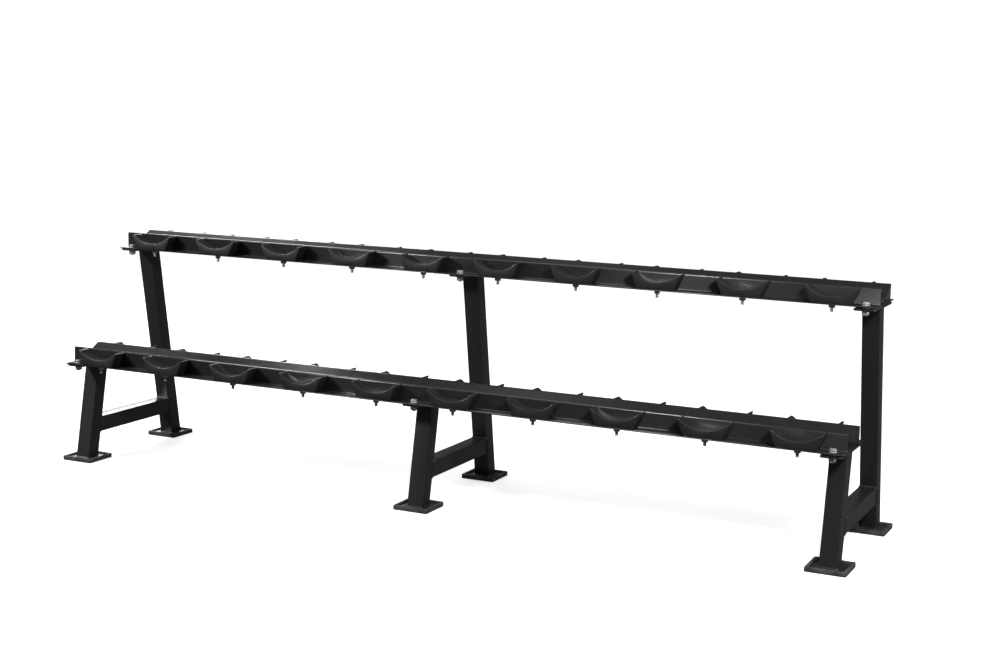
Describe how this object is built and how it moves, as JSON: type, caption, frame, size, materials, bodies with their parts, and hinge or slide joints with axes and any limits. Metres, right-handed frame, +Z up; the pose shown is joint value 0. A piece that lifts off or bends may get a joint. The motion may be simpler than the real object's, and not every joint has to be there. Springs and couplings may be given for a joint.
{
  "type": "dumbbell rack",
  "caption": "Two-tier saddle rack: welded tube frames carry folded sheet rails, whose moulded saddles hold dumbbells by their heads.",
  "frame": {"origin": "on the floor, at the centre of the rack's bounding box", "axes": "+X along the rack to the right as seen from the front, +Y from the front to the back, +Z up"},
  "size_m": [2.687, 0.579, 0.7509],
  "materials": {
    "rail": "black satin powder coat with a fine texture",
    "frame": "black satin powder coat with a fine texture",
    "saddle": "black moulded plastic with a fine grain",
    "foot": "matt black moulded rubber",
    "fastener": "bright zinc plating"
  },
  "bodies": {
    "root": {"lower_rail": "rail", "lower_front_saddle_01": "saddle", "lower_front_saddle_02": "saddle", "lower_front_saddle_03": "saddle", "lower_front_saddle_04": "saddle", "lower_front_saddle_05": "saddle", "lower_front_saddle_06": "saddle", "lower_front_saddle_07": "saddle", "lower_front_saddle_08": "saddle", "lower_front_saddle_09": "saddle", "lower_front_saddle_10": "saddle", "lower_rear_saddle_01": "saddle", "lower_rear_saddle_02": "saddle", "lower_rear_saddle_03": "saddle", "lower_rear_saddle_04": "saddle", "lower_rear_saddle_05": "saddle", "lower_rear_saddle_06": "saddle", "lower_rear_saddle_07": "saddle", "lower_rear_saddle_08": "saddle", "lower_rear_saddle_09": "saddle", "lower_rear_saddle_10": "saddle", "upper_rail": "rail", "upper_front_saddle_01": "saddle", "upper_front_saddle_02": "saddle", "upper_front_saddle_03": "saddle", "upper_front_saddle_04": "saddle", "upper_front_saddle_05": "saddle", "upper_front_saddle_06": "saddle", "upper_front_saddle_07": "saddle", "upper_front_saddle_08": "saddle", "upper_front_saddle_09": "saddle", "upper_front_saddle_10": "saddle", "upper_rear_saddle_01": "saddle", "upper_rear_saddle_02": "saddle", "upper_rear_saddle_03": "saddle", "upper_rear_saddle_04": "saddle", "upper_rear_saddle_05": "saddle", "upper_rear_saddle_06": "saddle", "upper_rear_saddle_07": "saddle", "upper_rear_saddle_08": "saddle", "upper_rear_saddle_09": "saddle", "upper_rear_saddle_10": "saddle", "left_frame": "frame", "left_front_foot": "foot", "left_rear_foot": "foot", "left_lower_front_bolt": "fastener", "left_upper_front_bolt": "fastener", "middle_frame": "frame", "middle_front_foot": "foot", "middle_rear_foot": "foot", "middle_lower_front_bolt": "fastener", "middle_upper_front_bolt": "fastener", "right_frame": "frame", "right_front_foot": "foot", "right_rear_foot": "foot", "right_lower_front_bolt": "fastener", "right_upper_front_bolt": "fastener"}
  },
  "joints": []
}
